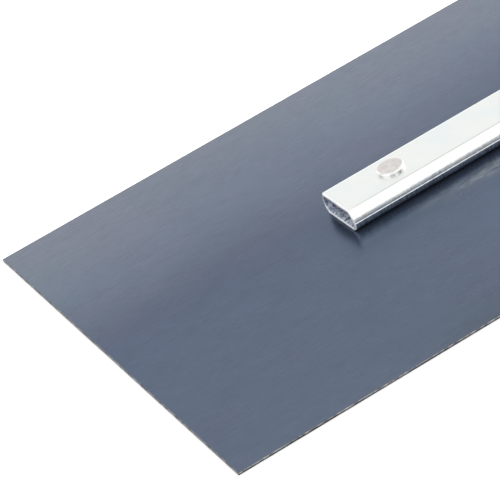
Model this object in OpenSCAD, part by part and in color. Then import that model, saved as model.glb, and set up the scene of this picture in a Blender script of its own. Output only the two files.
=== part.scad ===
// Steel finishing trowel: a thin blued blade riveted to a one-piece tube mount.
// The tube is flattened where it lies on the blade, bends up and back over it
// as a round neck, and carries a wooden grip on its upper leg.
// Origin: centre of the blade's underside. +X points to the toe, +Z up.

/* [Blade] */
// Length of the blade, heel to toe
blade_length = 280; // [260:1:320]
// Width of the blade
blade_width = 130; // [110:1:150]
// Thickness of the blade sheet
blade_thickness = 0.6; // [0.5:0.05:1]

/* [Mount tube] */
// Outer diameter of the round tube
tube_diameter = 12; // [11:0.5:13]
// Wall of the tube
tube_wall = 0.8; // [0.6:0.05:1.2]
// Overall width of the flattened stretch
oval_width = 15.3; // [14.4:0.1:15.5]
// Height of the flattened stretch
oval_height = 5.6; // [5:0.1:6.5]
// Width of its flat top and flat bottom
oval_flat_width = 12.6; // [12:0.1:13.2]
// Height of its widest line over the blade
oval_ridge_height = 2.3; // [1.6:0.1:2.8]
// Distance from the blade's heel to the open end of the tube
heel_set_back = 61.3; // [50:0.05:65]
// Length of the flattened stretch
flat_length = 134.7; // [130:0.05:140]
// Length over which the flattened tube turns round
transition_length = 16; // [12:1:20]
// Centre-line radius of both neck bends
bend_radius = 24; // [20:1:26]

/* [Grip] */
// Height of the grip's axis above the blade's underside
grip_axis_height = 66; // [60:1:70]
// Length of the wooden grip
grip_length = 124; // [115:1:130]
// Greatest half height of the grip
grip_half_height = 16.2; // [14:0.1:17]
// Greatest half width of the grip
grip_half_width = 14.2; // [13.4:0.1:16]
// Rise of the grip's back over its axis
grip_hump = 1; // [0:0.1:2]
// Clearance of the bore round the tube
bore_clearance = 0.1; // [0.05:0.05:0.3]

/* [Ferrule and end fittings] */
// Outer diameter of the steel ferrule
ferrule_diameter = 26; // [25:0.5:26.5]
// Length of the ferrule along the grip
ferrule_length = 17; // [14:1:20]
// Sheet thickness of the ferrule
ferrule_wall = 0.8; // [0.6:0.1:1]
// Outer diameter of the washer at the rear of the grip
washer_diameter = 19; // [17:0.5:20]
// Thickness of that washer
washer_thickness = 1.2; // [1:0.1:1.5]
// Diameter of the cross pin that holds the grip
pin_diameter = 3; // [2.5:0.1:3.5]
// Diameter of the rear plug's head
plug_head_diameter = 13.6; // [13.4:0.1:14]

/* [Rivets] */
// Number of rivets through blade and tube
rivet_count = 4; // [3:1:4]
// Distance from the open end of the tube to the first rivet
rivet_inset = 15.3; // [12:0.1:16]
// Spacing of the rivets
rivet_pitch = 37.5; // [35:0.5:38]
// Shank diameter
rivet_shank = 4; // [3.5:0.1:4.5]
// Diameter of the raised head
rivet_head = 6.7; // [6:0.1:7]
// Height of the raised head
rivet_head_height = 0.9; // [0.7:0.05:1.2]
// Diameter of the countersunk head, flush with the blade's underside
rivet_foot = 7.2; // [6.5:0.1:7.5]

/* [Hidden] */
$fn = 64;
eps = 0.01;

rivet_names = [for (i = [1:rivet_count]) str("rivet_", i)];

// Heights
tube_r = tube_diameter / 2;
bore_r = tube_r - tube_wall;
oval_z = blade_thickness + oval_height / 2;
round_z = blade_thickness + tube_r;
tube_top_z = blade_thickness + oval_height;
bulge = (oval_width - oval_flat_width) / 2;
arc_steps = 8;

// Stations along X
tube_start = -blade_length / 2 + heel_set_back;
flat_end = tube_start + flat_length;
round_start = flat_end + transition_length;
neck_x = round_start + bend_radius;
grip_front = grip_length / 2;
grip_rear = -grip_length / 2;
washer_rear = grip_rear - washer_thickness;

// The rolled lip that holds the rear washer
lip_length = 0.8;
lip_r = tube_r + 0.7;
tube_rear = washer_rear - lip_length;

// Grip and ferrule
ferrule_r = ferrule_diameter / 2;
seat_r = ferrule_r - ferrule_wall - 0.05;
seat_start = grip_front - ferrule_length;
seat_overlap = 6;
pin_x = grip_front - 8;
grip_sides = 32;
grip_rings = 26;
end_round = 5;
end_drop = 3.6;

// Rivets
rivet_x = [for (i = [0:rivet_count - 1]) tube_start + rivet_inset + i * rivet_pitch];
rivet_hole_r = rivet_shank / 2 + 0.05;
rivet_chamfer = 0.3;
foot_depth = 0.8 * blade_thickness;

// Rear plug
plug_head_length = 1.8;
plug_body_length = 11;
plug_body_r = bore_r - 0.1;

steel_blue = "#6b7885";
zinc = "#dfe4e3";
rivet_grey = "#b9b1ac";
beech = "#c9965a";
black_plastic = "#26282a";

// ---- 2D sections -------------------------------------------------------

// Flat top and bottom; each side is two arcs that meet, upright, at the widest
// line. An inset shrinks the section evenly.
function side_radius(rise) = (pow(rise, 2) / bulge + bulge) / 2;

// Points of one side's arc, from the widest line to the flat, rise above it
function side_arc(rise, inset) =
    let (
        r = side_radius(rise) - inset,
        centre = oval_width / 2 - side_radius(rise),
        last = asin((rise - inset) / r)
    )
    [for (i = [0:arc_steps]) let (a = last * i / arc_steps) [centre + r * cos(a), r * sin(a)]];

module oval_section(inset = 0) {
    upper = side_arc(oval_height - oval_ridge_height, inset);
    lower = side_arc(oval_ridge_height, inset);
    right = concat(
        [for (i = [arc_steps:-1:1]) [lower[i].x, -lower[i].y]], upper
    );
    left = [for (i = [len(right) - 1:-1:0]) [-right[i].x, right[i].y]];
    translate([0, oval_ridge_height - oval_height / 2]) polygon(concat(right, left));
}

// ---- Tube pieces, solid; the same shapes with an inset make the hollow --

// Extrudes a YZ section along X
module along_x(x, length, z) {
    translate([x, 0, z]) rotate([90, 0, 90]) linear_extrude(length) children();
}

// Flattened tube turning round, its underside staying on the blade
module transition(inset = 0) {
    hull() {
        along_x(flat_end, eps, oval_z) oval_section(inset, $fn = 32);
        along_x(round_start - eps, eps, round_z) circle(r = tube_r - inset, $fn = 32);
    }
}

// A quarter bend in the XZ plane, from level to upright
module quarter_bend(inset = 0) {
    rotate([90, 0, 0]) rotate_extrude(angle = 90)
        translate([bend_radius, 0]) circle(r = tube_r - inset);
}

module tube_path(inset = 0, overrun = 0) {
    r = tube_r - inset;
    along_x(tube_start - overrun, flat_length + overrun, oval_z) oval_section(inset);
    transition(inset);
    translate([round_start, 0, round_z + bend_radius])
        rotate([0, 90, 0]) quarter_bend(inset);
    translate([neck_x, 0, round_z + bend_radius])
        cylinder(r = r, h = grip_axis_height - round_z - 2 * bend_radius);
    translate([round_start, 0, grip_axis_height - bend_radius]) quarter_bend(inset);
    along_x(tube_rear - overrun, round_start - tube_rear + overrun, grip_axis_height)
        circle(r = r);
}

// A bore across the tube, along Z through the blade or along Y through the grip
module rivet_bores() {
    for (x = rivet_x)
        translate([x, 0, -1]) cylinder(r = rivet_hole_r, h = tube_top_z + 2);
}

module pin_bore() {
    translate([pin_x, 0, grip_axis_height]) rotate([90, 0, 0])
        cylinder(r = pin_diameter / 2 + 0.02, h = 2 * ferrule_diameter, center = true);
}

// ---- Grip loft ----------------------------------------------------------

// Half height and half width along the grip: u runs from the rear (0) to the
// ferrule's seat (1), full in the palm, waisted ahead of the rear swell
function blend(a, b, u) = a + (b - a) * (3 - 2 * u) * u * u;
function swell(u) =
    u < 0.22 ? blend(0.78, 0.45, u / 0.22) :
    u < 0.68 ? blend(0.45, 1, (u - 0.22) / 0.46) :
    blend(1, 0, (u - 0.68) / 0.32);
function end_cut(s) = s < end_round ? end_drop * (1 - sqrt(1 - pow(1 - s / end_round, 2))) : 0;
function grip_ring(s) =
    let (
        span = seat_start - grip_rear,
        u = s / span,
        cut = end_cut(s),
        half_w = blend(ferrule_r, grip_half_width, swell(u)) - cut,
        half_h = blend(ferrule_r, grip_half_height, swell(u)) - cut,
        z = grip_axis_height + grip_hump * sin(180 * u)
    )
    [for (i = [0:grip_sides - 1])
        let (a = 360 * i / grip_sides)
        [grip_rear + s, half_w * cos(a), z + half_h * sin(a)]];

// Rings crowd towards the rounded rear end
function ring_place(k) = (seat_start - grip_rear) * pow(k / grip_rings, 1.35);

module grip_body() {
    points = [for (k = [0:grip_rings]) each grip_ring(ring_place(k))];
    n = grip_sides;
    rear_face = [for (i = [0:n - 1]) i];
    front_face = [for (i = [n - 1:-1:0]) grip_rings * n + i];
    side_faces = [for (k = [0:grip_rings - 1], i = [0:n - 1])
        let (j = (i + 1) % n)
        each [[(k + 1) * n + j, k * n + j, k * n + i], [(k + 1) * n + i, (k + 1) * n + j, k * n + i]]];
    polyhedron(points = points, faces = concat([rear_face], side_faces, [front_face]));
}

// ---- Sub-parts ----------------------------------------------------------

module blade() {
    color(steel_blue) difference() {
        translate([-blade_length / 2, -blade_width / 2, 0])
            cube([blade_length, blade_width, blade_thickness]);
        rivet_bores();
        for (x = rivet_x)
            translate([x, 0, 0]) cylinder(r1 = rivet_foot / 2 + 0.05, r2 = rivet_hole_r, h = foot_depth);
    }
}

module mount_tube() {
    color(zinc) difference() {
        union() {
            tube_path();
            along_x(tube_rear, lip_length, grip_axis_height) circle(r = lip_r);
        }
        tube_path(tube_wall, overrun = 1);
        rivet_bores();
        pin_bore();
    }
}

module rivet(x) {
    top = tube_top_z + rivet_head_height;
    color(rivet_grey) translate([x, 0, 0]) rotate_extrude() polygon([
        [0, 0], [rivet_foot / 2, 0], [rivet_shank / 2, foot_depth],
        [rivet_shank / 2, tube_top_z], [rivet_head / 2, tube_top_z],
        [rivet_head / 2, top - rivet_chamfer], [rivet_head / 2 - rivet_chamfer, top], [0, top]
    ]);
}

module grip() {
    color(beech) difference() {
        union() {
            grip_body();
            along_x(seat_start - seat_overlap, ferrule_length + seat_overlap, grip_axis_height)
                circle(r = seat_r);
        }
        along_x(grip_rear - 1, grip_length + 2, grip_axis_height) circle(r = tube_r + bore_clearance);
        pin_bore();
    }
}

// A cup over the grip's front end, with a hole for the tube
module front_ferrule() {
    color(zinc) difference() {
        along_x(seat_start, ferrule_length + ferrule_wall, grip_axis_height) circle(r = ferrule_r);
        along_x(seat_start - 1, ferrule_length + 1, grip_axis_height) circle(r = ferrule_r - ferrule_wall);
        along_x(grip_front - 1, 3, grip_axis_height) circle(r = tube_r + bore_clearance);
        pin_bore();
    }
}

module grip_pin() {
    color(zinc) translate([pin_x, 0, grip_axis_height]) rotate([90, 0, 0])
        cylinder(d = pin_diameter, h = ferrule_diameter + 0.6, center = true);
}

module rear_washer() {
    color(zinc) difference() {
        along_x(washer_rear, washer_thickness, grip_axis_height) circle(d = washer_diameter);
        along_x(washer_rear - 1, washer_thickness + 2, grip_axis_height) circle(r = tube_r + bore_clearance);
    }
}

// Pushed into the tube's rear end, its low head covering the rolled lip
module end_plug() {
    color(black_plastic) {
        along_x(tube_rear, plug_body_length, grip_axis_height) circle(r = plug_body_r);
        translate([tube_rear, 0, grip_axis_height]) rotate([0, -90, 0]) rotate_extrude() polygon([
            [0, 0], [plug_head_diameter / 2, 0], [plug_head_diameter / 2, 0.5 * plug_head_length],
            [0.45 * plug_head_diameter, 0.85 * plug_head_length],
            [0.36 * plug_head_diameter, plug_head_length], [0, plug_head_length]
        ]);
    }
}

blade();
mount_tube();
for (i = [0:rivet_count - 1])
    rivet(rivet_x[i]);
grip();
front_ferrule();
grip_pin();
rear_washer();
end_plug();
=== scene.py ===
"""Looks of a steel finishing trowel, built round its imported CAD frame.

Metres throughout, in the CAD model's own frame: X runs along the blade to the
toe, Y across it, and Z up from the blade's underside to the grip.
"""
import math

import bmesh
import bpy
import numpy as np
from mathutils import Matrix, Vector, noise


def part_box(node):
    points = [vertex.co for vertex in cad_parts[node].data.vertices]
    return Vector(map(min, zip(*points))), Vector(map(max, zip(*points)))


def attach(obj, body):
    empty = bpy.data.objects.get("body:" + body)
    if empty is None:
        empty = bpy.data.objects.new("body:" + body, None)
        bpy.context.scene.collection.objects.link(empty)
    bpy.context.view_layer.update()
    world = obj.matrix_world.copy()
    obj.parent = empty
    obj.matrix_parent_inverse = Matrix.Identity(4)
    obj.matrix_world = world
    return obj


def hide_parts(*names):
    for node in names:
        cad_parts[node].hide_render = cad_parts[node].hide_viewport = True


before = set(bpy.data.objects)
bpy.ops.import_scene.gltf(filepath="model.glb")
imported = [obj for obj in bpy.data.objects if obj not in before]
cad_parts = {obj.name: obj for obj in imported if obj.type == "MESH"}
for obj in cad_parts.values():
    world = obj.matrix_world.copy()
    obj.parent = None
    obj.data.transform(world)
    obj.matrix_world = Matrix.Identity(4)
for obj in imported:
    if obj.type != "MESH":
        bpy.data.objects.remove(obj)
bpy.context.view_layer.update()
MM = 0.001
ROOT = "root"

# ---- Dimensions, from the frame where its boxes give them -------------------

BLADE_LOW, BLADE_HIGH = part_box("blade")
TUBE_LOW, TUBE_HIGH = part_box("mount_tube")
FERRULE_LOW, FERRULE_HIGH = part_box("front_ferrule")
GRIP_LOW, GRIP_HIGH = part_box("grip")
RIVETS = [name for name in sorted(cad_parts) if name.startswith("rivet_")]

BLADE_TOP = BLADE_HIGH.z
CLEARANCE = 0.1 * MM            # round the tube, where something is fitted to it
TUBE_R = 6.0 * MM
TUBE_WALL = 0.8 * MM
RIVET_HEAD_HEIGHT = 0.9 * MM
RIVET_HEAD_R = 3.35 * MM
RIVET_SHANK_R = 2.0 * MM
OVAL_WIDTH = TUBE_HIGH.y - TUBE_LOW.y
OVAL_FLAT = 12.6 * MM           # width of the flattened tube's flat underside
OVAL_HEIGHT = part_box(RIVETS[0])[1].z - RIVET_HEAD_HEIGHT - BLADE_TOP
OVAL_Z = BLADE_TOP + OVAL_HEIGHT / 2
RIDGE_HEIGHT = 2.3 * MM         # of the raised lines, above the blade
BEND_R = 24.0 * MM
TRANSITION = 16.0 * MM          # length over which the flat tube turns round
NECK_X = TUBE_HIGH.x - TUBE_R
ROUND_START = NECK_X - BEND_R
ROUND_Z = BLADE_TOP + TUBE_R
FLAT_END = ROUND_START - TRANSITION
GRIP_Z = (FERRULE_LOW.z + FERRULE_HIGH.z) / 2


# ---- Small tools for node materials ----------------------------------------

class Shader:
    """A material's node tree, with short calls for the nodes used here."""

    def __init__(self, name):
        self.material = bpy.data.materials.new(name)
        self.material.use_nodes = True
        self.tree = self.material.node_tree
        self.tree.nodes.clear()
        self.surface = self.node("ShaderNodeBsdfPrincipled")
        output = self.node("ShaderNodeOutputMaterial")
        self.tree.links.new(self.surface.outputs[0], output.inputs["Surface"])
        self.place = self.node("ShaderNodeTexCoord").outputs["Object"]

    def node(self, kind, **settings):
        made = self.tree.nodes.new(kind)
        for key, value in settings.items():
            setattr(made, key, value)
        return made

    def put(self, socket, value):
        """Links an output to the socket, or sets the socket to a constant."""
        if isinstance(value, bpy.types.NodeSocket):
            self.tree.links.new(value, socket)
        else:
            socket.default_value = value

    def set(self, **inputs):
        """Sets the Principled shader's sockets; underscores stand for spaces."""
        for key, value in inputs.items():
            self.put(self.surface.inputs[key.replace("_", " ")], value)

    def stretched(self, scale):
        """The object's own coordinates, scaled along each axis."""
        mapping = self.node("ShaderNodeMapping")
        self.put(mapping.inputs["Vector"], self.place)
        mapping.inputs["Scale"].default_value = scale
        return mapping.outputs[0]

    def noise(self, scale, stretch=(1, 1, 1), detail=3.0, rough=0.5, warp=0.0):
        """Noise of that many cells a metre, times the stretch along each axis."""
        made = self.node("ShaderNodeTexNoise")
        self.put(made.inputs["Vector"], self.stretched(stretch))
        made.inputs["Scale"].default_value = scale
        made.inputs["Detail"].default_value = detail
        made.inputs["Roughness"].default_value = rough
        made.inputs["Distortion"].default_value = warp
        return made.outputs["Fac"]

    def axis(self, name):
        split = self.node("ShaderNodeSeparateXYZ")
        self.put(split.inputs[0], self.place)
        return split.outputs[name]

    def math(self, operation, *values):
        made = self.node("ShaderNodeMath", operation=operation)
        for socket, value in zip(made.inputs, values):
            self.put(socket, value)
        return made.outputs[0]

    def product(self, first, *others):
        for other in others:
            first = self.math("MULTIPLY", first, other)
        return first

    def between(self, value, low, high, to_low=0.0, to_high=1.0):
        """Maps low..high to to_low..to_high, and holds those beyond."""
        made = self.node("ShaderNodeMapRange")
        for socket, setting in zip(made.inputs, (value, low, high, to_low, to_high)):
            self.put(socket, setting)
        return made.outputs[0]

    def ramp(self, factor, stops):
        made = self.node("ShaderNodeValToRGB")
        self.put(made.inputs[0], factor)
        elements = made.color_ramp.elements
        while len(elements) < len(stops):
            elements.new(0.5)
        for element, (position, colour) in zip(elements, stops):
            element.position = position
            element.color = (*colour, 1)
        return made.outputs[0]

    def mix(self, factor, a, b, blend="MIX"):
        made = self.node("ShaderNodeMix", data_type="RGBA", blend_type=blend)
        self.put(made.inputs["Factor"], factor)
        for socket, value in zip((made.inputs[6], made.inputs[7]), (a, b)):
            self.put(socket, (*value, 1) if isinstance(value, tuple) else value)
        return made.outputs[2]

    def bump(self, height, distance, under=None):
        made = self.node("ShaderNodeBump")
        made.inputs["Strength"].default_value = 1.0
        made.inputs["Distance"].default_value = distance
        self.put(made.inputs["Height"], height)
        if under is not None:
            self.put(made.inputs["Normal"], under)
        return made.outputs[0]


# ---- Materials ---------------------------------------------------------------

# Steel colour across the blade, from its near edge (0) to its far edge (1): temper colour,
# with painted reflection that makes it paler towards the far edge
BLUE_AND_REFLECTION_BAND = [
    (0.00, (0.114, 0.149, 0.212)),
    (0.42, (0.108, 0.143, 0.214)),
    (0.52, (0.109, 0.138, 0.210)),
    (0.60, (0.118, 0.146, 0.210)),
    (0.72, (0.149, 0.181, 0.250)),
    (0.84, (0.180, 0.217, 0.287)),
    (1.00, (0.218, 0.248, 0.308)),
]
PURPLE_TINT = (1.045, 0.985, 1.0)
GREEN_TINT = (0.972, 1.02, 0.99)
CLOUD_SHIFT = 9 * MM            # how far clouds move the band across the blade

# A painted reflection of the tube's bright side: a pale streak on the blade beside it
SIDE_REFLECTION_Y = -12.5 * MM
SIDE_REFLECTION_HALF_WIDTH = 2.4 * MM
SIDE_REFLECTION_STRENGTH = 0.9
SIDE_REFLECTION_COLOUR = (0.31, 0.355, 0.395)


def blued_steel():
    """Tempered blue sheet: slate blue with a purplish band, under greenish and purplish clouds
    and fine rolling lines; painted reflection makes it paler towards the far edge, and a
    painted reflection of the tube's bright side lies on it as a pale streak beside the tube."""
    s = Shader("blued_steel")
    x, y = s.axis("X"), s.axis("Y")
    clouds = s.noise(11, stretch=(0.6, 1.3, 1), detail=2)
    across = s.math("ADD", y, s.between(clouds, 0.3, 0.7, -CLOUD_SHIFT, CLOUD_SHIFT))
    across = s.math("ADD", across, s.between(x, -100 * MM, -30 * MM, -1 * MM, 6 * MM))
    band = s.ramp(s.between(across, BLADE_LOW.y, BLADE_HIGH.y), BLUE_AND_REFLECTION_BAND)
    purple = s.noise(75, stretch=(0.5, 1, 1), detail=4, rough=0.6)
    tinted = s.mix(s.between(purple, 0.45, 0.66, 0, 1), band,
                   s.mix(1.0, band, PURPLE_TINT, "MULTIPLY"))
    green = s.noise(60, stretch=(0.5, 1.2, 1), detail=4, rough=0.6)
    tinted = s.mix(s.between(green, 0.48, 0.68, 0, 1), tinted,
                   s.mix(1.0, tinted, GREEN_TINT, "MULTIPLY"))

    rolled = s.noise(1, stretch=(14, 1100, 14), detail=4, rough=0.65)
    streaks = s.noise(1, stretch=(340, 1500, 340), detail=3, rough=0.55)
    mottled = s.noise(210, stretch=(0.5, 1, 1), detail=3, rough=0.6)
    value = s.math("ADD", s.between(rolled, 0.3, 0.7, -0.022, 0.022),
                   s.between(streaks, 0.3, 0.7, 0.94, 1.06))
    value = s.math("ADD", value, s.between(mottled, 0.3, 0.7, -0.03, 0.03))
    # Painted reflection as well: lighter on the near side towards the toe, darker towards the
    # heel
    near_tube = s.product(s.between(x, -95 * MM, -55 * MM, 0, 0.06),
                          s.between(y, -12 * MM, 0, 1, 0))
    toeward = s.between(x, -95 * MM, -50 * MM, 0.957, 1.005)
    value = s.product(value, s.math("ADD", near_tube, toeward))
    shade = s.node("ShaderNodeCombineXYZ")
    for socket in shade.inputs:
        s.put(socket, value)
    colour = s.mix(1.0, tinted, shade.outputs[0], "MULTIPLY")

    # Painted reflection of the tube's bright side: a pale streak along the blade beside it
    off_centre = s.math("DIVIDE", s.math("SUBTRACT", y, SIDE_REFLECTION_Y), SIDE_REFLECTION_HALF_WIDTH)
    across_reflection = s.math("EXPONENT", s.product(off_centre, off_centre, -1.0))
    reflection_streaks = s.noise(1, stretch=(230, 620, 230), detail=4, rough=0.65)
    on_top = s.math("GREATER_THAN", s.axis("Z"), 0.9 * BLADE_TOP)
    painted_reflection = s.product(s.between(reflection_streaks, 0.34, 0.6), s.between(x, -67 * MM, -46 * MM),
                       s.between(x, 0, 50 * MM, SIDE_REFLECTION_STRENGTH, 0), across_reflection, on_top)
    colour = s.mix(painted_reflection, colour, SIDE_REFLECTION_COLOUR)
    s.set(Base_Color=colour, Metallic=0.82, Specular_Tint=(0.7, 0.7, 0.7, 1),
          Roughness=s.between(purple, 0.3, 0.7, 0.23, 0.30),
          Normal=s.bump(streaks, 0.002 * MM))
    return s.material


def edge_steel(name, low, high, rough=0.35, patch=900):
    """Sheared steel: uneven along the cut, with short streaks across it."""
    s = Shader(name)
    tear = s.noise(patch, stretch=(1, 1, 0.35), detail=4, rough=0.65)
    s.set(Base_Color=s.ramp(tear, [(0.36, low), (0.64, high)]), Metallic=1.0,
          Roughness=s.between(tear, 0.3, 0.7, rough, rough + 0.2),
          Normal=s.bump(tear, 0.01 * MM))
    return s.material


def zinc_plate(name, rough=0.22, tint=(0.875, 0.905, 0.89)):
    """Bright zinc over drawn steel: faint blotches, fine drawing lines, and darker
    specks low on the flattened sides."""
    s = Shader(name)
    patches = s.noise(130, detail=4, rough=0.6, warp=0.3)
    warm = tuple(c * k for c, k in zip(tint, (1.02, 1.0, 0.985)))
    cool = tuple(c * k for c, k in zip(tint, (0.975, 1.0, 1.015)))
    colour = s.ramp(patches, [(0.36, cool), (0.5, tint), (0.66, warm)])
    lines = s.noise(1, stretch=(60, 2600, 2600), detail=3, rough=0.6)
    specks = s.noise(1500, detail=4, rough=0.7)
    # Darker specks, thickest low on the sides
    low = s.between(s.axis("Z"), BLADE_TOP + 3.2 * MM, BLADE_TOP + 4.6 * MM, 1, 0)
    low_specks = s.product(low, s.between(specks, 0.42, 0.66))
    colour = s.mix(low_specks, colour, (0.62, 0.60, 0.55))
    s.set(Base_Color=colour, Metallic=1.0,
          Roughness=s.between(patches, 0.35, 0.65, rough, rough + 0.06),
          Normal=s.bump(lines, 0.0015 * MM, under=s.bump(patches, 0.006 * MM)))
    return s.material


def shaded_zinc():
    """Painted shade: zinc darkened to grey for the lower sides of the flattened tube, which
    face down towards the blade, and for the dark rows of its sawn end; with fine upright
    marks, and a painted black contact shadow where they meet the blade."""
    s = Shader("shaded_zinc")
    marks = s.noise(1, stretch=(2600, 300, 300), detail=3, rough=0.6)
    patches = s.noise(260, detail=3)
    # Zinc darkened to grey: painted shade on faces turned down towards the blade
    grey = s.ramp(marks, [(0.35, (0.15, 0.17, 0.18)), (0.65, (0.54, 0.57, 0.58))])
    colour = s.mix(s.between(patches, 0.35, 0.65, 0, 0.35), grey, (0.34, 0.36, 0.40))
    # Painted contact shadow: black where the sides meet the blade
    painted_foot_shade = s.between(s.axis("Z"), BLADE_TOP + 0.15 * MM, BLADE_TOP + 0.75 * MM, 1, 0)
    colour = s.mix(painted_foot_shade, colour, (0.01, 0.01, 0.012))
    s.set(Base_Color=colour, Metallic=1.0, Roughness=0.3,
          Normal=s.bump(marks, 0.003 * MM))
    return s.material


def tube_inside():
    """The unpolished inside of the tube: dull, mottled zinc, with a painted shadow on its
    inner sides that deepens towards its roof."""
    s = Shader("tube_inside")
    mottle = s.noise(1050, detail=5, rough=0.75, warp=0.8)
    colour = s.ramp(mottle, [
        (0.40, (0.12, 0.155, 0.24)), (0.50, (0.36, 0.44, 0.59)), (0.59, (1.0, 1.0, 1.0)),
    ])
    z = s.axis("Z")
    # Painted shadow cast by the roof on the inner sides, deepest just below it
    roof_shadow = s.product(s.between(z, OVAL_Z - 0.4 * MM, OVAL_Z + 1.4 * MM),
                         s.between(z, OVAL_Z + 1.8 * MM, OVAL_Z + 1.95 * MM, 1, 0))
    s.set(Base_Color=s.mix(roof_shadow, colour, (0.05, 0.05, 0.05)), Metallic=0.25,
          Roughness=s.between(mottle, 0.3, 0.7, 0.6, 0.3),
          Normal=s.bump(mottle, 0.12 * MM))
    return s.material


def cut_zinc():
    """The bright, slightly ragged sawn end of the tube."""
    s = Shader("cut_zinc")
    burr = s.noise(900, detail=4, rough=0.6)
    s.set(Base_Color=s.ramp(burr, [(0.3, (0.84, 0.86, 0.89)), (0.6, (0.97, 0.98, 1.0))]),
          Metallic=0.4, Roughness=0.42, Normal=s.bump(burr, 0.01 * MM))
    return s.material


def rivet_top():
    """The pressed flat of a rivet head: dull, a little pinkish."""
    s = Shader("rivet_top")
    wear = s.noise(700, detail=5, rough=0.65)
    colour = s.ramp(wear, [(0.35, (0.62, 0.59, 0.575)), (0.65, (0.76, 0.735, 0.72))])
    s.set(Base_Color=colour, Metallic=0.8,
          Roughness=s.between(wear, 0.3, 0.7, 0.45, 0.6),
          Normal=s.bump(wear, 0.02 * MM))
    return s.material


def rivet_side():
    """A rivet's sides: bright at the head's rim, with painted shade in patches below it."""
    s = Shader("rivet_side")
    wear = s.noise(1100, detail=4, rough=0.6)
    metal = s.ramp(wear, [(0.35, (0.80, 0.80, 0.79)), (0.65, (0.95, 0.95, 0.94))])
    seat = BLADE_TOP + OVAL_HEIGHT
    # Painted shade in patches round the foot of the head
    shade_patches = s.noise(330, detail=2)
    painted_foot_shade = s.product(s.between(s.axis("Z"), seat + 0.05 * MM, seat + 0.7 * MM, 1, 0),
                     s.between(shade_patches, 0.46, 0.62))
    s.set(Base_Color=s.mix(painted_foot_shade, metal, (0.10, 0.10, 0.10)),
          Metallic=1.0, Roughness=s.between(wear, 0.3, 0.7, 0.2, 0.3),
          Normal=s.bump(wear, 0.003 * MM))
    return s.material


def beech():
    """Lacquered beech: long soft grain and short dark flecks."""
    s = Shader("beech")
    rings = s.noise(1, stretch=(5, 190, 120), detail=4, rough=0.55, warp=0.5)
    fibre = s.noise(1, stretch=(60, 1500, 1500), detail=4, rough=0.6)
    wood = s.ramp(rings, [
        (0.32, (0.50, 0.270, 0.125)),
        (0.48, (0.62, 0.370, 0.190)),
        (0.64, (0.70, 0.450, 0.250)),
    ])
    wood = s.mix(s.between(fibre, 0.35, 0.7, 0, 0.32), wood, (0.46, 0.235, 0.105))
    flecks = s.noise(1, stretch=(330, 1900, 1900), detail=1)
    fleck = s.between(flecks, 0.655, 0.72)
    wood = s.mix(s.product(fleck, 0.75), wood, (0.27, 0.115, 0.045))
    pores = s.bump(fleck, -0.02 * MM)
    s.set(Base_Color=wood, Roughness=s.between(fibre, 0.3, 0.7, 0.36, 0.48),
          Coat_Weight=0.55, Coat_Roughness=0.16,
          Normal=s.bump(fibre, 0.012 * MM, under=pores))
    return s.material


def black_plastic():
    """Moulded black plastic with a fine matt grain."""
    s = Shader("black_plastic")
    grain = s.noise(2400, detail=3)
    cast = s.noise(260, detail=2)
    colour = s.ramp(cast, [(0.3, (0.018, 0.019, 0.021)), (0.7, (0.03, 0.031, 0.033))])
    s.set(Base_Color=colour, Roughness=s.between(grain, 0.3, 0.7, 0.42, 0.58),
          Normal=s.bump(grain, 0.02 * MM))
    return s.material


# ---- Small tools for meshes ----------------------------------------------------

def add_object(name, data):
    """A new object in the scene, at the origin."""
    made = bpy.data.objects.new(name, data)
    bpy.context.scene.collection.objects.link(made)
    return made


def circle(sides):
    """Angles of that many points evenly round a circle."""
    return [2 * math.pi * i / sides for i in range(sides)]


def make_piece(name, points, faces, materials, replaces, face_material=None, sharp=30):
    """A piece that rides on the one body and stands for its CAD node."""
    mesh = bpy.data.meshes.new(name)
    mesh.from_pydata([tuple(p) for p in points], [], faces)
    for material in materials:
        mesh.materials.append(material)
    if face_material is not None:
        mesh.polygons.foreach_set("material_index", face_material)
    tidy = bmesh.new()
    tidy.from_mesh(mesh)
    bmesh.ops.recalc_face_normals(tidy, faces=tidy.faces)
    tidy.to_mesh(mesh)
    tidy.free()
    mesh.polygons.foreach_set("use_smooth", [True] * len(mesh.polygons))
    mesh.set_sharp_from_angle(angle=math.radians(sharp))
    piece = add_object(name, mesh)
    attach(piece, ROOT)
    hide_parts(replaces)
    return piece


def ring_faces(rings, sides, close_rings=False):
    """Quads between successive rings of points, each ring closed on itself."""
    faces = []
    for k in range(rings if close_rings else rings - 1):
        a, b = k * sides, (k + 1) % rings * sides
        for i in range(sides):
            j = (i + 1) % sides
            faces.append((a + i, a + j, b + j, b + i))
    return faces


FILLET_STEPS = 5


def rounded(corners):
    """A 2D outline through (u, v, radius) corners, each turned by a fillet."""
    outline = []
    for k, (u, v, radius) in enumerate(corners):
        here = Vector((u, v))
        if radius == 0:
            outline.append(here)
            continue
        before = Vector(corners[k - 1][:2]) - here
        after = Vector(corners[(k + 1) % len(corners)][:2]) - here
        half = before.angle(after) / 2
        reach = min(radius / math.tan(half), 0.49 * before.length, 0.49 * after.length)
        start = here + before.normalized() * reach
        end = here + after.normalized() * reach
        for i in range(FILLET_STEPS + 1):
            t = i / FILLET_STEPS
            outline.append(start * (1 - t) ** 2 + here * 2 * t * (1 - t) + end * t ** 2)
    return outline


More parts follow.
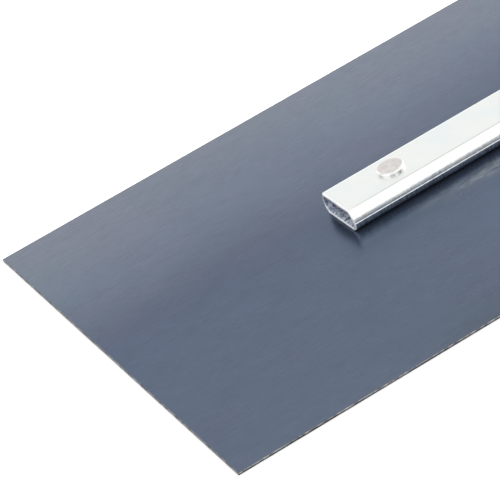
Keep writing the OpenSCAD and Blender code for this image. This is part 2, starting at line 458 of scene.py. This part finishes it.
def turned(name, corners, centre, axis, materials, replaces, sides=72, pick=None):
    """A turned solid: corners are (along, radius, fillet), a closed outline, or
    one that starts and ends on the axis. pick chooses a face's material from its
    points."""
    outline = rounded(corners)
    solid = corners[0][1] == 0
    along = Vector(axis)
    side = along.orthogonal().normalized()
    other = along.cross(side)
    points = []
    for p in outline:
        radius = max(p.y, 1e-7)
        for a in circle(sides):
            outwards = side * math.cos(a) + other * math.sin(a)
            points.append(centre + along * p.x + outwards * radius)
    faces = ring_faces(len(outline), sides, close_rings=not solid)
    if solid:
        faces.append(tuple(range(sides)))
        faces.append(tuple((len(outline) - 1) * sides + i for i in range(sides)))
    chosen = None
    if pick:
        chosen = [pick([points[i] - centre for i in f]) for f in faces]
    return make_piece(name, points, faces, materials, replaces, chosen)


def smooth(t):
    """Eases from 0 to 1 as t does, and holds both ends."""
    t = min(max(t, 0.0), 1.0)
    return t * t * (3 - 2 * t)


def wobble(x, y, z, size, amount):
    """Smooth irregularity of about that size and amount, the same every run."""
    return noise.noise(Vector((x, y, z)) / size) * amount


# ---- Blade -----------------------------------------------------------------

BLADE_CORNER_R = 0.25 * MM
BLADE_CORNER_STEPS = 3
BLADE_STEP = 1.1 * MM           # between points along its edges
BLADE_CELL = 10 * MM            # of its two faces

# Irregularities of its edges, as the size and amount of each
FINE_JAG = (1.6 * MM, 0.09 * MM)
LONG_JAG = (9 * MM, 0.05 * MM)
BURNISH_WANDER = (2.2 * MM, 0.12 * MM)
WANDER_SLICE = 7 * MM           # height at which the wander is read from the noise

# The sheet's edge from top to underside: how far in from the outline, how high,
# and what share of the raggedness it takes
BURNISH_END = 0.52 * BLADE_TOP
BLADE_EDGE = [
    (0.30 * MM, BLADE_TOP, 0.0),
    (0.05 * MM, BLADE_TOP, 0.7),
    (0.0, BLADE_TOP - 0.05 * MM, 1.0),
    (0.0, BURNISH_END, 0.7),
    (0.01 * MM, 0.46 * BLADE_TOP, 0.6),
    (0.03 * MM, 0.10 * BLADE_TOP, 0.5),
    (0.10 * MM, 0.0, 0.5),
    (0.40 * MM, 0.0, 0.0),
]


def rivet_cutter():
    """Shank holes and their countersinks, as one mesh to cut from the sheet."""
    sides, gap, depth = 48, 0.04 * MM, 0.8 * BLADE_TOP
    points, faces = [], []
    for name in RIVETS:
        low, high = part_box(name)
        middle = (low.x + high.x) / 2
        wide, narrow = high.x - middle + gap, RIVET_SHANK_R + gap
        profile = [(-0.1 * MM, wide + 0.2 * MM), (depth, narrow), (BLADE_TOP + MM, narrow)]
        first = len(points)
        for z, r in profile:
            for a in circle(sides):
                points.append((middle + r * math.cos(a), r * math.sin(a), z))
        faces += [tuple(first + i for i in f) for f in ring_faces(len(profile), sides)]
        faces.append(tuple(first + i for i in reversed(range(sides))))
        faces.append(tuple(first + 2 * sides + i for i in range(sides)))
    mesh = bpy.data.meshes.new("cutter")
    mesh.from_pydata(points, [], faces)
    return add_object("cutter", mesh)


def cut_away(piece, cutter):
    """Takes the cutter's shape out of the piece's mesh and discards the cutter."""
    modifier = piece.modifiers.new("holes", "BOOLEAN")
    modifier.object, modifier.solver = cutter, "EXACT"
    bpy.context.view_layer.update()
    solved = piece.evaluated_get(bpy.context.evaluated_depsgraph_get())
    mesh = bpy.data.meshes.new_from_object(solved)
    piece.modifiers.clear()
    piece.data = mesh
    bpy.data.objects.remove(cutter)


def divide(piece, cell):
    """Splits the blade's mesh along evenly spaced planes across X and Y."""
    cells = bmesh.new()
    cells.from_mesh(piece.data)
    for axis, half in ((0, BLADE_HIGH.x), (1, BLADE_HIGH.y)):
        normal = Vector((1, 0, 0)) if axis == 0 else Vector((0, 1, 0))
        for k in range(math.ceil(-half / cell) + 1, math.floor(half / cell)):
            everything = cells.verts[:] + cells.edges[:] + cells.faces[:]
            bmesh.ops.bisect_plane(cells, geom=everything, dist=1e-7,
                                   plane_co=normal * k * cell, plane_no=normal)
    cells.to_mesh(piece.data)
    cells.free()


def blade_outline():
    """(point, outward direction) pairs round the sheet, seen from above."""
    half_x, half_y = BLADE_HIGH.x - BLADE_CORNER_R, BLADE_HIGH.y - BLADE_CORNER_R
    corners = []
    for sx, sy in ((1, 1), (-1, 1), (-1, -1), (1, -1)):
        centre = Vector((sx * half_x, sy * half_y))
        start = math.atan2(sy, sx) - math.pi / 4
        for i in range(BLADE_CORNER_STEPS + 1):
            a = start + i * math.pi / 2 / BLADE_CORNER_STEPS
            n = Vector((math.cos(a), math.sin(a)))
            corners.append((centre + n * BLADE_CORNER_R, n))
    outline = []
    for k, (p, n) in enumerate(corners):
        q, m = corners[(k + 1) % len(corners)]
        parts = max(1, round((q - p).length / BLADE_STEP))
        for i in range(parts):
            t = i / parts
            outline.append((p.lerp(q, t), n.lerp(m, t).normalized()))
    return outline


def blade():
    """The sheet and its sheared edges: on the near side burnished above and near black
    below, on the far side a dark line, and evenly grey at both ends."""
    outline = blade_outline()
    sides = len(outline)
    points = []
    for inset, z, share in BLADE_EDGE:
        for p, n in outline:
            jag = wobble(p.x, p.y, z, *FINE_JAG) + wobble(p.x, p.y, 0, *LONG_JAG)
            wander = 0
            if z == BURNISH_END:
                wander = wobble(p.x, p.y, WANDER_SLICE, *BURNISH_WANDER)
            q = p - n * (inset + share * max(0.0, jag))
            points.append((q.x, q.y, z + wander))

    blued, burnished, dark_lower, grey, line = range(5)
    by_side = {
        "near": (blued, burnished, burnished, dark_lower, dark_lower, dark_lower, blued),
        "far": (line, line, grey, dark_lower, dark_lower, dark_lower, blued),
        "end": (grey, grey, grey, grey, grey, dark_lower, blued),
    }
    where = []
    for k, (_, n) in enumerate(outline):
        m = n + outline[(k + 1) % sides][1]
        where.append("end" if abs(m.x) > abs(m.y) else "near" if m.y < 0 else "far")
    rows = len(BLADE_EDGE)
    faces = ring_faces(rows, sides)
    chosen = [by_side[w][row] for row in range(rows - 1) for w in where]
    faces.append(tuple(range(sides)))
    faces.append(tuple((rows - 1) * sides + i for i in range(sides)))
    chosen += [blued, blued]

    materials = [
        blued_steel(),
        edge_steel("burnished_edge", (0.09, 0.10, 0.12), (0.36, 0.355, 0.35), 0.3),
        # Near black, on the lower part of the cut
        edge_steel("dark_lower_edge", (0.006, 0.006, 0.007), (0.028, 0.027, 0.026), 0.45),
        edge_steel("end_edge", (0.10, 0.10, 0.102), (0.30, 0.293, 0.285), 0.4, patch=420),
        edge_steel("edge_line", (0.10, 0.10, 0.105), (0.17, 0.17, 0.175), 0.4),
    ]
    sheet = make_piece("blade_sheet", points, faces, materials, "blade", chosen)
    divide(sheet, BLADE_CELL)
    cut_away(sheet, rivet_cutter())
    sheet.data.polygons.foreach_set("use_smooth", [False] * len(sheet.data.polygons))


# ---- Mount tube --------------------------------------------------------------

EDGE_R = 0.16 * MM
STRIP_WIDTH = 0.40 * MM         # of the strip that falls away beside the flat top
NEAR_SLOPE, FAR_SLOPE = math.tan(math.radians(1)), math.tan(math.radians(8))
CURL = 2.4                      # power of the lower face's curve under the tube
BEAD_HEIGHT = 0.068 * MM
BEAD_SPREAD = 0.08 * MM
BEAD_REACH = 0.34 * MM
LIP_X = GRIP_LOW.x - 2 * MM     # where the tube ends behind the grip
DENT_DEPTH, DENT_R = 0.05 * MM, 4.2 * MM        # round each rivet
SKIN_WAVE = (7 * MM, 0.02 * MM)                 # size and amount
SKIN_SINK = 0.01 * MM                           # keeps the waves inside the CAD tube
SAW_MARKS = (1.3 * MM, 0.04 * MM)               # size and amount

# The foot of the sawn end, where its rim nears the blade
FOOT_HEIGHT = 0.3 * MM
FOOT_REACH = 0.2 * MM           # how far its outer edge stands out
FOOT_SHARE = 0.24               # of the wall, taken by its dark row of painted shade
FOOT_LAST_SHARE = 0.4           # rows up to here lie flush with the end there


def turn_corner(start, corner, end, steps=6):
    """Points strictly between start and end on a curve round the corner."""
    made = []
    for i in range(1, steps):
        t = i / steps
        made.append(tuple(a * (1 - t) ** 2 + c * 2 * t * (1 - t) + b * t ** 2
                          for a, c, b in zip(start, corner, end)))
    return made


def half_section(inset, slope):
    """One side of the flattened section, top to bottom, round its own centre: a
    strip that falls a little, an arc down to the raised line, and a lower face
    that curls under it."""
    bulge = (OVAL_WIDTH - OVAL_FLAT) / 2
    ridge_z = RIDGE_HEIGHT - OVAL_HEIGHT / 2
    rise, drop = OVAL_HEIGHT - RIDGE_HEIGHT, RIDGE_HEIGHT - inset
    whole_r = (rise ** 2 / bulge + bulge) / 2
    radius, centre = whole_r - inset, OVAL_WIDTH / 2 - whole_r
    top_z = OVAL_HEIGHT / 2 - inset
    last = math.asin((rise - inset - STRIP_WIDTH * slope) / radius)
    edge, bead = (0.6 * EDGE_R, 0) if inset else (EDGE_R, BEAD_HEIGHT)
    foot_edge = edge / math.hypot(CURL * bulge, drop)

    def above(angle):
        return centre + radius * math.cos(angle), ridge_z + radius * math.sin(angle)

    def below(t):
        return centre + radius - bulge * t ** CURL, ridge_z - drop * t

    def beside(dz):
        base = above(math.asin(dz / radius)) if dz > 0 else below(-dz / drop)
        return base[0] + bead * math.exp(-(dz / BEAD_SPREAD) ** 2), ridge_z + dz

    top, bottom = above(last), below(1)
    inner = top[0] - STRIP_WIDTH
    upper = [above(a) for a in
             np.linspace(last - edge / radius, math.asin(BEAD_REACH / radius), 12)]
    ridge = [beside(dz) for dz in np.linspace(BEAD_REACH, -BEAD_REACH, 21)[1:-1]]
    lower = [below(t) for t in np.linspace(BEAD_REACH / drop, 1 - foot_edge, 14)]
    flat = [(y, top_z) for y in np.linspace(0, inner - 0.5 * STRIP_WIDTH, 12)]
    strip = [(top[0] - w, top_z - (STRIP_WIDTH - w) * slope)
             for w in np.linspace(0.7 * STRIP_WIDTH, edge, 4)]
    base = [(y, bottom[1]) for y in np.linspace(bottom[0] - edge, 0, 12)]
    return (flat + turn_corner(flat[-1], (inner, top_z), strip[0], 4) + strip
            + turn_corner(strip[-1], top, upper[0]) + upper + ridge + lower
            + turn_corner(lower[-1], bottom, base[0]) + base)


def whole_section(inset):
    """(y, z) points once round the flattened section, and the same points of a
    round section, matched by how far round they lie."""
    far, near = half_section(inset, FAR_SLOPE), half_section(inset, NEAR_SLOPE)
    oval = far + [(-y, z) for y, z in near[::-1][1:-1]]
    lengths = [math.dist(oval[i], oval[(i + 1) % len(oval)]) for i in range(len(oval))]
    total, run, ring = sum(lengths), 0.0, []
    for step in lengths:
        a = 2 * math.pi * run / total
        ring.append(((TUBE_R - inset) * math.sin(a), (TUBE_R - inset) * math.cos(a)))
        run += step
    return oval, ring


def tube_stations():
    """Along the tube: centre (x, z), direction of the section's own up, and how
    round the section is."""
    stations = []
    for x in np.linspace(TUBE_LOW.x, FLAT_END, 100)[1:]:
        stations.append((x, OVAL_Z, (0, 1), 0.0))
    for t in np.linspace(0, 1, 22)[1:-1]:
        w = smooth(t)
        stations.append((FLAT_END + TRANSITION * t, OVAL_Z + (ROUND_Z - OVAL_Z) * w, (0, 1), w))
    for first, last, middle_z in ((-math.pi / 2, 0, ROUND_Z + BEND_R),
                                  (0, math.pi / 2, GRIP_Z - BEND_R)):
        for a in np.linspace(first, last, 32):
            up = (-math.cos(a), -math.sin(a))
            stations.append((ROUND_START + BEND_R * math.cos(a),
                             middle_z + BEND_R * math.sin(a), up, 1.0))
    for x in np.linspace(ROUND_START, TUBE_LOW.x + 20 * MM, 30)[1:]:
        if x > LIP_X:
            stations.append((x, GRIP_Z, (0, -1), 1.0))
    stations.append((LIP_X, GRIP_Z, (0, -1), 1.0))
    return stations


# The sawn end, from the outer skin to the inner: share of the wall, and how many
# millimetres it lies inside the end plane
END_ROWS = [(0.0, 0.30), (0.10, 0.16), (0.36, 0.0), (0.50, 0.0), (0.56, 0.07), (0.64, 0.07),
            (0.70, 0.01), (0.92, 0.02), (1.0, 0.12)]
END_SHADED = (3, 4, 5)            # rows in the groove between the end's two edges, dark with painted shade


def tube_skin(stations, inset, end):
    """Points of one skin of the tube, ring after ring, and the points in a ring.
    The outer skin is a little uneven and dented round the rivets."""
    rivet_spots = [sum(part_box(name), Vector()) / 2 for name in RIVETS]
    oval, ring = whole_section(inset)
    points = []
    for x, z, up, w in [(TUBE_LOW.x + end, OVAL_Z, (0, 1), 0.0)] + stations:
        for (oy, oz), (cy, cz) in zip(oval, ring):
            y, h = oy + (cy - oy) * w, oz + (cz - oz) * w
            grow = 0.0
            if not inset:
                grow = wobble(x, y, z + h, *SKIN_WAVE) - SKIN_SINK
                if h > 0 and w == 0:
                    for spot in rivet_spots:
                        far = math.hypot(x - spot.x, y - spot.y)
                        grow -= DENT_DEPTH * math.exp(-(far / DENT_R) ** 2)
            scale = 1 + grow / math.hypot(y, h)
            points.append((x + up[0] * h * scale, y * scale, z + up[1] * h * scale))
    return points, len(oval)


def mount_tube():
    """One tube: flattened with a raised line along each side, then round."""
    stations = tube_stations()
    outer, sides = tube_skin(stations, 0.0, END_ROWS[0][1] * MM)
    inner, _ = tube_skin(stations, TUBE_WALL, END_ROWS[-1][1] * MM)
    under = [z < BLADE_TOP + FOOT_HEIGHT for _, _, z in outer[:sides]]
    for i in range(sides):
        if under[i]:
            x, y, z = outer[i]
            outer[i] = (x - FOOT_REACH, y, z)
    rim = []
    for share, back in END_ROWS[1:-1]:
        for k, (o, i) in enumerate(zip(outer[:sides], inner[:sides])):
            ragged = wobble(o[0], o[1] * 1.5, o[2] * 1.5, *SAW_MARKS)
            deep, in_from_end = share, back
            if under[k] and share < FOOT_LAST_SHARE:
                deep, in_from_end = max(share, FOOT_SHARE), 0.0
            x = TUBE_LOW.x + max(0.0, in_from_end * MM + ragged)
            rim.append((x, o[1] + (i[1] - o[1]) * deep, o[2] + (i[2] - o[2]) * deep))

    rows = len(outer) // sides
    zinc, inside, shaded, cut = range(4)
    oval, _ = whole_section(0.0)
    lower_z = RIDGE_HEIGHT - OVAL_HEIGHT / 2 - BEAD_SPREAD
    low = [max(z, oval[(i + 1) % sides][1]) < lower_z for i, (_, z) in enumerate(oval)]
    flat_rows = 1 + sum(1 for station in stations if station[3] < 0.5)
    skin_faces = ring_faces(rows, sides)
    # Faces low on the flattened part take the zinc with painted shade
    chosen = [shaded if low[k % sides] and k // sides < flat_rows else zinc
              for k in range(len(skin_faces))]
    shift = len(outer) + len(rim)
    faces = skin_faces + [tuple(i + shift for i in f) for f in skin_faces]
    chosen += [inside] * len(skin_faces)

    def end_ring(k):
        """Index of the first point of the k-th ring of the sawn end."""
        if k == 0:
            return 0
        return shift if k == len(END_ROWS) - 1 else len(outer) + (k - 1) * sides

    def join(a, b, pick):
        """A band of faces between the rings that start at points a and b."""
        for i in range(sides):
            j = (i + 1) % sides
            faces.append((a + i, a + j, b + j, b + i))
            chosen.append(pick(i))

    # The sawn end: its groove rows, and its outer row near the blade, take the zinc with
    # painted shade
    for k in range(len(END_ROWS) - 1):
        join(end_ring(k), end_ring(k + 1),
             lambda i: shaded if (k == 0 if under[i] else k in END_SHADED) else cut)
    last = (rows - 1) * sides
    join(last, shift + last, lambda i: cut)
    make_piece("tube_skin", outer + rim + inner, faces,
               [zinc_plate("zinc_plate"), tube_inside(), shaded_zinc(), cut_zinc()],
               "mount_tube", chosen, sharp=40)


# ---- Rivets --------------------------------------------------------------------

RIVET_FLAT_R = 0.9 * RIVET_HEAD_R
RIVET_SEAT_Z = BLADE_TOP + OVAL_HEIGHT - 0.06 * MM      # sunk a little into the tube
COUNTERSINK = 0.48 * MM


def rivets():
    """Flush countersunk feet, and low heads pressed flat with a soft shoulder."""
    top_material, side_material = rivet_top(), rivet_side()
    for name in RIVETS:
        low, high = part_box(name)
        foot_r, top_z = (high.x - low.x) / 2, high.z
        corners = [
            (0, 0, 0),
            (0, foot_r, 0.04 * MM),
            (COUNTERSINK, RIVET_SHANK_R, 0),
            (RIVET_SEAT_Z, RIVET_SHANK_R, 0),
            (RIVET_SEAT_Z, RIVET_HEAD_R - 0.12 * MM, 0),
            (RIVET_SEAT_Z + 0.3 * MM, RIVET_HEAD_R, 0.15 * MM),
            (top_z - 0.3 * MM, RIVET_HEAD_R - 0.06 * MM, 0.12 * MM),
            (top_z, RIVET_FLAT_R, 0.12 * MM),
            (top_z - 0.06 * MM, RIVET_FLAT_R - 0.3 * MM, 0.15 * MM),
            (top_z - 0.04 * MM, 0, 0),
        ]

        def pick(points):
            flat = min(p.z for p in points) > top_z - 0.1 * MM
            inner = max(math.hypot(p.x, p.y) for p in points) < RIVET_FLAT_R
            return 0 if flat and inner else 1

        turned(name + "_pressed", corners, Vector(((low.x + high.x) / 2, 0, 0)), (0, 0, 1),
               [top_material, side_material], name, pick=pick)


# ---- Grip and its fittings -------------------------------------------------------

FERRULE_R = (FERRULE_HIGH.y - FERRULE_LOW.y) / 2
FERRULE_WALL = 0.8 * MM
BORE_R = TUBE_R + CLEARANCE
GRIP_HALF_WIDTH = GRIP_HIGH.y
GRIP_HALF_HEIGHT = 16.2 * MM
GRIP_HUMP = 1.0 * MM            # how far its middle rises above its ends
GRIP_ROUND = 5.0 * MM           # length of the rounding at its rear end
GRIP_DROP = 3.6 * MM            # how much that rounding takes off the radius
REAR_FULL, WAIST_FULL = 0.78, 0.45      # its swell at the rear end and the waist
WAIST_AT, BELLY_AT = 0.22, 0.68         # where the waist and the full belly lie


def swell(u):
    """How full the grip is along its length, from rear (0) to ferrule (1)."""
    if u < WAIST_AT:
        return REAR_FULL + (WAIST_FULL - REAR_FULL) * smooth(u / WAIST_AT)
    if u < BELLY_AT:
        return WAIST_FULL + (1 - WAIST_FULL) * smooth((u - WAIST_AT) / (BELLY_AT - WAIST_AT))
    return 1 - smooth((u - BELLY_AT) / (1 - BELLY_AT))


def grip():
    """The wooden grip, bored through, with a seat turned down for the ferrule."""
    sides = 96
    start, shoulder, front = GRIP_LOW.x, FERRULE_LOW.x, FERRULE_HIGH.x - FERRULE_WALL
    span = shoulder - start
    seat = FERRULE_R - FERRULE_WALL - 0.05 * MM
    rings = [(start, BORE_R, BORE_R, GRIP_Z)]
    rear = [GRIP_ROUND * (1 - math.cos(a)) for a in np.linspace(0, math.pi / 2, 14)]
    for s in rear + list(np.linspace(GRIP_ROUND, span - 0.6 * MM, 90)[1:]):
        u = s / span
        cut = GRIP_DROP * (1 - math.sqrt(1 - (1 - min(s / GRIP_ROUND, 1)) ** 2))
        half_w = FERRULE_R + (GRIP_HALF_WIDTH - FERRULE_R) * swell(u) - cut
        half_h = FERRULE_R + (GRIP_HALF_HEIGHT - FERRULE_R) * swell(u) - cut
        rings.append((start + s, half_w, half_h, GRIP_Z + GRIP_HUMP * math.sin(math.pi * u)))
    for a in (math.radians(v) for v in (30, 60, 90)):
        back = 0.35 * MM * (1 - math.cos(a))
        x = shoulder - 0.6 * MM + 0.55 * MM * math.sin(a)
        rings.append((x, FERRULE_R - back, FERRULE_R - back, GRIP_Z))
    for x, r in ((shoulder - 0.05 * MM, seat), (front, seat), (front, BORE_R)):
        rings.append((x, r, r, GRIP_Z))
    points = [(x, half_w * math.cos(a), z + half_h * math.sin(a))
              for x, half_w, half_h, z in rings for a in circle(sides)]
    make_piece("grip_wood", points, ring_faces(len(rings), sides, close_rings=True),
               [beech()], "grip", sharp=35)


FERRULE_GROOVE = 3.2 * MM       # from the ferrule's rear edge
GROOVE_HALF, GROOVE_DEPTH = 0.9 * MM, 0.35 * MM
PLUG_HEAD = 1.8 * MM


def fittings(steel):
    """Ferrule, cross pin, rear washer and end plug."""
    on_axis, lengthways = Vector((0, 0, GRIP_Z)), (1, 0, 0)
    x0, x1, r = FERRULE_LOW.x, FERRULE_HIGH.x, FERRULE_R
    groove = x0 + FERRULE_GROOVE
    turned("ferrule_cup", [
        (x0, r - FERRULE_WALL, 0.2 * MM),
        (x0, r, 0.35 * MM),
        (groove - GROOVE_HALF, r, 0.4 * MM),
        (groove, r - GROOVE_DEPTH, 0.5 * MM),
        (groove + GROOVE_HALF, r, 0.4 * MM),
        (x1, r, 1.4 * MM),
        (x1, BORE_R, 0.25 * MM),
        (x1 - FERRULE_WALL, BORE_R, 0.1 * MM),
        (x1 - FERRULE_WALL, r - FERRULE_WALL, 0.5 * MM),
    ], on_axis, lengthways, [steel], "front_ferrule", sides=96)

    low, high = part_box("grip_pin")
    half, pin_r = high.y, (high.x - low.x) / 2
    dome, dome_r = 0.45 * MM, 0.72 * pin_r
    turned("pin_domed", [
        (-half, 0, 0),
        (-half, dome_r, 0.3 * MM),
        (-half + dome, pin_r, 0.3 * MM),
        (half - dome, pin_r, 0.3 * MM),
        (half, dome_r, 0.3 * MM),
        (half, 0, 0),
    ], Vector(((low.x + high.x) / 2, 0, GRIP_Z)), (0, 1, 0), [steel],
        "grip_pin", sides=40)

    low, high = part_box("rear_washer")
    washer_r = high.y
    turned("washer_pressed", [
        (low.x, BORE_R, 0.15 * MM),
        (high.x, BORE_R, 0.05 * MM),
        (high.x, washer_r, 0.3 * MM),
        (low.x, washer_r - 0.2 * MM, 0.5 * MM),
    ], on_axis, lengthways, [steel], "rear_washer", sides=72)

    low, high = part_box("end_plug")
    head_r, shank_r = high.y, TUBE_R - TUBE_WALL - CLEARANCE
    turned("plug_moulded", [
        (low.x, 0, 0),
        (low.x, 0.35 * head_r, 0),
        (low.x + 0.1 * MM, 0.72 * head_r, 1.2 * MM),
        (low.x + 0.9 * MM, head_r, 0.5 * MM),
        (low.x + PLUG_HEAD, head_r, 0.15 * MM),
        (low.x + PLUG_HEAD, shank_r, 0.1 * MM),
        (high.x, shank_r, 0.4 * MM),
        (high.x, 0, 0),
    ], on_axis, lengthways, [black_plastic()], "end_plug", sides=64)


# ---- Stage, light and camera -----------------------------------------------------

FLOOR_HALF = 4.0
FLOOR_GAP = 0.15 * MM
ROOM_LIGHT = 0.97
LOW_EXTRA = 0.5
SOFTBOX_SIDE, SOFTBOX_RADIANCE = 0.8, 2.5


def stage():
    """A plain white floor just under the blade. It glows a little, so that it
    stays white in the trowel's shade."""
    s = Shader("floor_white")
    s.set(Base_Color=(0.72, 0.72, 0.72, 1), Roughness=0.9, Specular_IOR_Level=0.2,
          Emission_Color=(1, 1, 1, 1), Emission_Strength=0.5)
    corners = [(x * FLOOR_HALF, y * FLOOR_HALF, -FLOOR_GAP)
               for x, y in ((-1, -1), (1, -1), (1, 1), (-1, 1))]
    mesh = bpy.data.meshes.new("floor")
    mesh.from_pydata(corners, [], [(0, 1, 2, 3)])
    mesh.materials.append(s.material)
    floor = add_object("floor", mesh)


def surroundings():
    """A white room, brighter low down all round, and up to well over half way on
    the near side."""
    world = bpy.data.worlds.new("studio")
    bpy.context.scene.world = world
    world.use_nodes = True
    tree = world.node_tree
    place = tree.nodes.new("ShaderNodeTexCoord")
    split = tree.nodes.new("ShaderNodeSeparateXYZ")
    tree.links.new(place.outputs["Generated"], split.inputs[0])

    def faded(output, low, high):
        """1 below low along that axis, and 0 above high."""
        made = tree.nodes.new("ShaderNodeMapRange")
        tree.links.new(split.outputs[output], made.inputs[0])
        for socket, value in zip(list(made.inputs)[1:], (low, high, 1.0, 0.0)):
            socket.default_value = value
        return made.outputs[0]

    def combined(operation, a, b):
        """Two outputs, or an output and a number, in one Math node."""
        made = tree.nodes.new("ShaderNodeMath")
        made.operation = operation
        for socket, value in zip(made.inputs, (a, b)):
            if isinstance(value, float):
                socket.default_value = value
            else:
                tree.links.new(value, socket)
        return made.outputs[0]

    window = combined("MULTIPLY", faded("Y", -0.55, -0.1), faded("Z", 0.62, 0.8))
    bright = combined("MAXIMUM", window, faded("Z", 0.22, 0.34))
    strength = combined("ADD", combined("MULTIPLY", bright, LOW_EXTRA), ROOM_LIGHT)
    background = tree.nodes["Background"]
    background.inputs["Color"].default_value = (1, 1, 1, 1)
    tree.links.new(strength, background.inputs["Strength"])


def soft_light(name, place, target, side, radiance):
    """A square softbox whose face has the given radiance."""
    light = bpy.data.lights.new(name, "AREA")
    light.shape, light.size, light.size_y = "RECTANGLE", side, side
    light.energy = radiance * math.pi * side * side
    box = add_object(name, light)
    box.location = place
    box.rotation_mode = "QUATERNION"
    box.rotation_quaternion = (Vector(target) - Vector(place)).to_track_quat("-Z", "Y")


# The photograph's camera, in degrees and millimetres
CAMERA_AZIMUTH, CAMERA_ELEVATION, CAMERA_ROLL = -16.212, 29.030, -22.138
CAMERA_PLACE = (-264.28, -564.53, 335.13)
CAMERA_SENSOR, CAMERA_LENS = 36.0, 218.46


def camera():
    """A long lens that looks down on the heel corner, rolled to the left."""
    azimuth, elevation, roll = (
        math.radians(v) for v in (CAMERA_AZIMUTH, CAMERA_ELEVATION, CAMERA_ROLL))
    back = Vector((math.sin(azimuth) * math.cos(elevation),
                   -math.cos(azimuth) * math.cos(elevation), math.sin(elevation)))
    right = (-back).cross(Vector((0, 0, 1))).normalized()
    up = right.cross(-back)
    level = Matrix((right, up, back)).transposed()
    turn = level @ Matrix.Rotation(roll, 3, "Z")
    data = bpy.data.cameras.new("camera")
    data.sensor_width, data.lens = CAMERA_SENSOR, CAMERA_LENS
    data.clip_start, data.clip_end = 0.01, 20
    eye = add_object("camera", data)
    eye.matrix_world = Matrix.Translation(Vector(CAMERA_PLACE) * MM) @ turn.to_4x4()
    bpy.context.scene.camera = eye


# ---- The scene -------------------------------------------------------------------

camera()
surroundings()
soft_light("side_softbox", (1.0, 0.2, 0.7), (0, 0, 0.03), SOFTBOX_SIDE, SOFTBOX_RADIANCE)
stage()
bpy.context.scene.view_settings.view_transform = "Standard"

blade()
mount_tube()
rivets()
grip()
fittings(zinc_plate("fitting_zinc", rough=0.3, tint=(0.8, 0.82, 0.82)))
